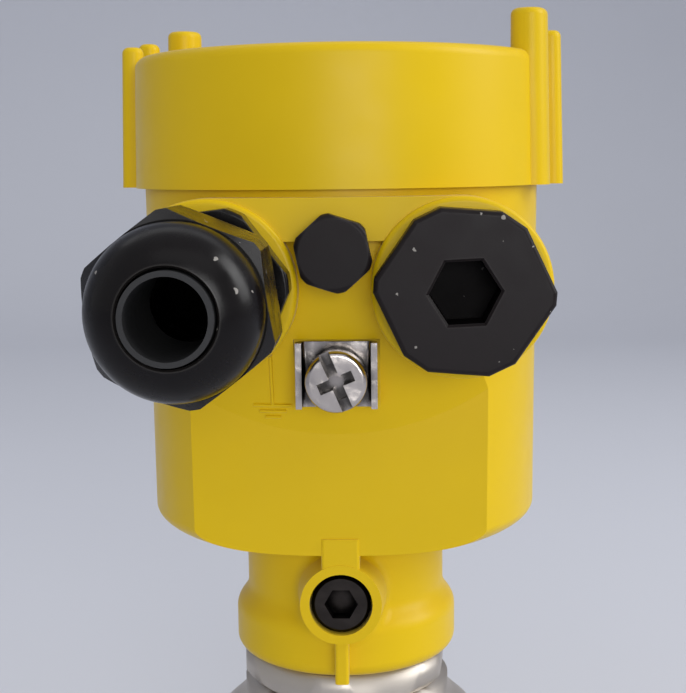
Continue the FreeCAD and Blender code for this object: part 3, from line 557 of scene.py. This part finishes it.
class TRANSMITTER_OT_housing(bpy.types.Operator):
    """Finish the housing and lid, paint shade inside it and put the thread on the rim"""
    bl_idname = "transmitter.housing"
    bl_label = "Housing and lid"

    def execute(self, context):
        sizes = settings()[0]
        dress("moulded_yellow_polyester", "housing", "lid")
        dress("moulded_nitrile_rubber", "lid_seal")
        self.paint_shade_inside()
        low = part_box("lid")[0].z
        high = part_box("housing")[1].z
        shoulder_gap = 2.3 * MM
        top_gap = 2.4 * MM
        ridge_share = 0.3
        screw_thread("rim_thread", "housing", {
            "Radius": RIM_RADIUS,
            "Pitch": sizes.rim_pitch,
            "Turns": (high - low - shoulder_gap - top_gap) / sizes.rim_pitch,
            "Depth": sizes.rim_depth,
            "Width": ridge_share * sizes.rim_pitch,
            "Place": (0.0, 0.0, low + shoulder_gap),
            "Turn": (0.0, 0.0, 0.0),
            "Finish": finish_for("moulded_yellow_polyester"),
        })
        return {"FINISHED"}

    def paint_shade_inside(self):
        """Paint the closed space and its two ports near black, as painted shade for their dark inside."""
        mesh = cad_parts["housing"].data
        shade_slot = len(mesh.materials)
        mesh.materials.append(finish_for("painted_shade_inside"))
        # Each limit lies a little beyond the wall that it takes in.
        reach = 30.35 * MM
        bore = 10.05 * MM
        front = -21.05 * MM
        floor = 52.4 * MM
        # The flat front wall ends below this level, and the rim's top face lies above the next.
        front_top = 108.0 * MM
        rim = 127.1 * MM
        ports = [box_middle(node) for node in ("gland_gasket", "plug_seal")]
        for face in mesh.polygons:
            x, y, z = face.center
            in_space = math.hypot(x, y) < reach and (y > front or z > front_top)
            in_port = any(math.hypot(x - axis.x, z - axis.z) < bore for axis in ports)
            if floor < z < rim and (in_space or (in_port and y < 0)):
                face.material_index = shade_slot


class TRANSMITTER_OT_gland(bpy.types.Operator):
    """Finish the cable gland and put the thread on its barrel"""
    bl_idname = "transmitter.gland"
    bl_label = "Cable gland"

    def execute(self, context):
        sizes = settings()[0]
        dress("polished_black_polyamide", "gland_body", "gland_nut")
        dress("moulded_nitrile_rubber", "gland_gasket", "gland_insert")
        axis = box_middle("gland_gasket")
        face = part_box("gland_gasket")[1].y
        # The gasket and the body's hexagon lie between the port's face and the thread.
        collar = 7.3 * MM
        turns = 7.2
        ridge_share = 0.6
        screw_thread("gland_thread", "housing", {
            "Radius": BARREL_RADIUS,
            "Pitch": sizes.gland_pitch,
            "Turns": turns,
            "Depth": sizes.gland_depth,
            "Width": ridge_share * sizes.gland_pitch,
            "Place": (axis.x, face - collar, axis.z),
            "Turn": (math.radians(90), 0.0, 0.0),
            "Finish": finish_for("polished_black_polyamide"),
        })
        return {"FINISHED"}


class TRANSMITTER_OT_plug(bpy.types.Operator):
    """Finish the blind plug and put the thread on its stem"""
    bl_idname = "transmitter.plug"
    bl_label = "Blind plug"

    def execute(self, context):
        sizes = settings()[0]
        dress("eroded_black_polyamide", "blind_plug")
        dress("moulded_nitrile_rubber", "plug_seal")
        axis = box_middle("plug_seal")
        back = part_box("blind_plug")[1].y
        end_gap = 1.0 * MM
        turns = 5.0
        ridge_share = 0.6
        screw_thread("plug_thread", "blind_plug", {
            "Radius": STEM_RADIUS,
            "Pitch": sizes.gland_pitch,
            "Turns": turns,
            "Depth": sizes.plug_depth,
            "Width": ridge_share * sizes.gland_pitch,
            "Place": (axis.x, back - end_gap, axis.z),
            "Turn": (math.radians(90), 0.0, 0.0),
            "Finish": finish_for("eroded_black_polyamide"),
        })
        return {"FINISHED"}


class TRANSMITTER_OT_vent(bpy.types.Operator):
    """Finish the pressure vent between the ports"""
    bl_idname = "transmitter.vent"
    bl_label = "Vent"

    def execute(self, context):
        dress("eroded_black_polyamide", "vent_cap")
        dress("moulded_nitrile_rubber", "vent_seal")
        dress("sintered_white_membrane", "vent_membrane")
        return {"FINISHED"}


class TRANSMITTER_OT_terminal(bpy.types.Operator):
    """Finish the outer earth terminal and the locking screw"""
    bl_idname = "transmitter.terminal"
    bl_label = "Earth terminal and locking screw"

    def execute(self, context):
        dress("nickel_plated_steel", "earth_clamp", "earth_washer", "earth_screw")
        dress("turned_brass", "earth_bush")
        dress("blackened_steel", "locking_screw")
        return {"FINISHED"}


class TRANSMITTER_OT_earth_sign(bpy.types.Operator):
    """Raise the earth sign on the housing beside the terminal"""
    bl_idname = "transmitter.earth_sign"
    bl_label = "Earth sign"

    def execute(self, context):
        sizes = settings()[0]
        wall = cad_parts["housing"].data
        surface = BVHTree.FromPolygons(
            [vert.co for vert in wall.vertices], [face.vertices for face in wall.polygons])
        middle = -10.9 * MM
        drop = 5.2 * MM
        stem = 12.0 * MM
        bar_step = 1.05 * MM
        bar_widths = (6.4 * MM, 4.5 * MM, 2.6 * MM)
        foot = box_middle("earth_screw").z - drop
        strokes = [((middle, foot + stem), (middle, foot))]
        for step, width in enumerate(bar_widths):
            level = foot - step * bar_step
            strokes.append(((middle - width / 2, level), (middle + width / 2, level)))
        shell = bmesh.new()
        for start, end in strokes:
            self.raise_stroke(shell, surface, Vector(start), Vector(end), sizes)
        bmesh.ops.recalc_face_normals(shell, faces=shell.faces)
        mesh = bpy.data.meshes.new("earth_sign")
        shell.to_mesh(mesh)
        shell.free()
        mesh.materials.append(finish_for("moulded_yellow_polyester"))
        piece_from("earth_sign", mesh, "housing")
        return {"FINISHED"}

    def raise_stroke(self, shell, surface, start, end, sizes):
        """One ridge with sloping sides from one (x, z) point to another, its foot sunk in the wall."""
        along = (end - start).normalized()
        across = Vector((-along.y, along.x))
        # The section's points lie across the stroke, at heights given as shares of the sign's height.
        half = sizes.sign_line / 2
        crown = half / 2
        sunk = -0.3
        section = ((-half, sunk), (-crown, 1.0), (crown, 1.0), (half, sunk))
        row_step = 0.8 * MM
        well_in_front = -100 * MM
        count = max(2, round((end - start).length / row_step))
        rows = []
        for k in range(count + 1):
            row = []
            for offset, lift in section:
                spot = start + (end - start) * k / count + across * offset
                sender = Vector((spot.x, well_in_front, spot.y))
                hit = surface.ray_cast(sender, Vector((0.0, 1.0, 0.0)))[0]
                row.append(shell.verts.new((spot.x, hit.y - lift * sizes.sign_height, spot.y)))
            rows.append(row)
        for one, two in zip(rows, rows[1:]):
            for k in range(4):
                shell.faces.new((one[k], one[(k + 1) % 4], two[(k + 1) % 4], two[k]))
        shell.faces.new(rows[0])
        shell.faces.new(rows[-1])


class TRANSMITTER_OT_electronics(bpy.types.Operator):
    """Finish what lies under the lid"""
    bl_idname = "transmitter.electronics"
    bl_label = "Electronics"

    def execute(self, context):
        dress("moulded_grey_polycarbonate", "electronics_module")
        dress("moulded_pale_polyamide", "terminal_block")
        dress("nickel_plated_steel", "module_screws", "terminal_screws", "inner_earth")
        dress("turned_brass", "contact_pins")
        return {"FINISHED"}


def look_along(eye, turn, pitch, roll):
    """The camera's placement for an eye point and its angles in degrees."""
    yaw, dip, lean = math.radians(turn), math.radians(pitch), math.radians(roll)
    forward = Vector((math.sin(yaw) * math.cos(dip), math.cos(yaw) * math.cos(dip), -math.sin(dip)))
    right = Vector((math.cos(yaw), -math.sin(yaw), 0.0))
    up = right.cross(forward)
    side = right * math.cos(lean) + up * math.sin(lean)
    crown = up * math.cos(lean) - right * math.sin(lean)
    turned = Matrix((side, crown, -forward)).transposed().to_4x4()
    return Matrix.Translation(eye) @ turned


class TRANSMITTER_OT_stage(bpy.types.Operator):
    """Set the pale floor, the soft lights and the camera"""
    bl_idname = "transmitter.stage"
    bl_label = "Stage"

    def execute(self, context):
        self.lay_floor()
        self.hang_light("right_light", spot=(1.05, -0.1, 0.7), size=(0.6, 1.0), fan=90, watts=2.65)
        self.hang_light("front_light", spot=(0.15, -0.75, 0.2), size=(0.4, 0.3), fan=60, watts=0.28)
        self.hang_light("high_light", spot=(0.15, -0.85, 1.0), size=(1.2, 0.6), fan=180, watts=0.9)
        self.hang_light("back_light", spot=(0.0, 0.35, 0.9), size=(1.6, 0.3), fan=180, watts=1.2)
        self.fill_room()
        self.place_camera()
        return {"FINISHED"}

    def lay_floor(self):
        """One bent sheet: a floor that rises into a backdrop."""
        low = CAD_BOX[0][2]
        half_width, near, far, top = 5.0, -5.0, 0.75, 2.2
        bend, bend_steps = 0.3, 8
        outline = [(near, low), (far, low)]
        for k in range(1, bend_steps + 1):
            angle = math.radians(90 * k / bend_steps)
            outline.append((far + bend * math.sin(angle), low + bend * (1 - math.cos(angle))))
        outline.append((far + bend, top))
        verts = [(x, y, z) for y, z in outline for x in (-half_width, half_width)]
        faces = [(2 * k, 2 * k + 1, 2 * k + 3, 2 * k + 2) for k in range(len(outline) - 1)]
        mesh = bpy.data.meshes.new("pale_floor")
        mesh.from_pydata(verts, [], faces)
        mesh.shade_smooth()
        mesh.materials.append(finish_for("pale_painted_board"))
        floor = bpy.data.objects.new("pale_floor", mesh)
        bpy.context.scene.collection.objects.link(floor)

    def hang_light(self, name, spot, size, fan, watts):
        """A large soft light aimed at the middle of the part, with its light kept to a fan in degrees."""
        data = bpy.data.lights.new(name, "AREA")
        data.shape = "RECTANGLE"
        data.size = size[0]
        data.size_y = size[1]
        data.spread = math.radians(fan)
        data.energy = watts
        lamp = bpy.data.objects.new(name, data)
        bpy.context.scene.collection.objects.link(lamp)
        middle = Vector((0.0, 0.0, 85 * MM))
        aim = middle - Vector(spot)
        lamp.location = spot
        lamp.rotation_euler = aim.to_track_quat("-Z", "Y").to_euler()

    def fill_room(self):
        """Even pale light from all round."""
        world = bpy.data.worlds.new("pale_room")
        world.use_nodes = True
        sky = world.node_tree.nodes["Background"]
        sky.inputs["Color"].default_value = linear("#E6E8EE")
        sky.inputs["Strength"].default_value = 0.59
        bpy.context.scene.world = world
        bpy.context.scene.view_settings.view_transform = "Standard"

    def place_camera(self):
        """The photograph's viewpoint: close in front, a little to the right and slightly from above."""
        data = bpy.data.cameras.new("front_camera")
        picture_width, focal_length = 686, 1310  # in pixels
        data.sensor_fit = "HORIZONTAL"
        data.lens = data.sensor_width * focal_length / picture_width
        data.clip_start = 10 * MM
        camera = bpy.data.objects.new("front_camera", data)
        bpy.context.scene.collection.objects.link(camera)
        distance, height, side = 240 * MM, 113.1 * MM, 2.0
        angle = math.radians(side)
        eye = Vector((distance * math.sin(angle), -distance * math.cos(angle), height))
        camera.matrix_world = look_along(eye, turn=-side, pitch=8.0, roll=-0.68)
        bpy.context.scene.camera = camera


OPERATORS = (
    TRANSMITTER_OT_fitting,
    TRANSMITTER_OT_housing,
    TRANSMITTER_OT_gland,
    TRANSMITTER_OT_plug,
    TRANSMITTER_OT_vent,
    TRANSMITTER_OT_terminal,
    TRANSMITTER_OT_earth_sign,
    TRANSMITTER_OT_electronics,
    TRANSMITTER_OT_stage,
)


class TRANSMITTER_PT_looks(bpy.types.Panel):
    """The transmitter's pieces, sizes and colours"""
    bl_idname = "TRANSMITTER_PT_looks"
    bl_label = "Pressure transmitter"
    bl_space_type = "VIEW_3D"
    bl_region_type = "UI"
    bl_category = "Transmitter"

    def draw(self, context):
        layout = self.layout
        for operator in OPERATORS:
            layout.operator(operator.bl_idname)
        for group in settings():
            box = layout.box()
            for name in group.bl_rna.properties.keys():
                if name not in ("rna_type", "name"):
                    box.prop(group, name)


CLASSES = (TransmitterColours, TransmitterSizes) + OPERATORS + (TRANSMITTER_PT_looks,)


def register():
    for item in CLASSES:
        bpy.utils.register_class(item)
    bpy.types.Scene.transmitter_sizes = bpy.props.PointerProperty(type=TransmitterSizes)
    bpy.types.Scene.transmitter_colours = bpy.props.PointerProperty(type=TransmitterColours)


def unregister():
    del bpy.types.Scene.transmitter_colours
    del bpy.types.Scene.transmitter_sizes
    for item in reversed(CLASSES):
        bpy.utils.unregister_class(item)


def main():
    register()
    bpy.ops.transmitter.fitting()
    bpy.ops.transmitter.housing()
    bpy.ops.transmitter.gland()
    bpy.ops.transmitter.plug()
    bpy.ops.transmitter.vent()
    bpy.ops.transmitter.terminal()
    bpy.ops.transmitter.earth_sign()
    bpy.ops.transmitter.electronics()
    bpy.ops.transmitter.stage()


if __name__ == "__main__":
    main()
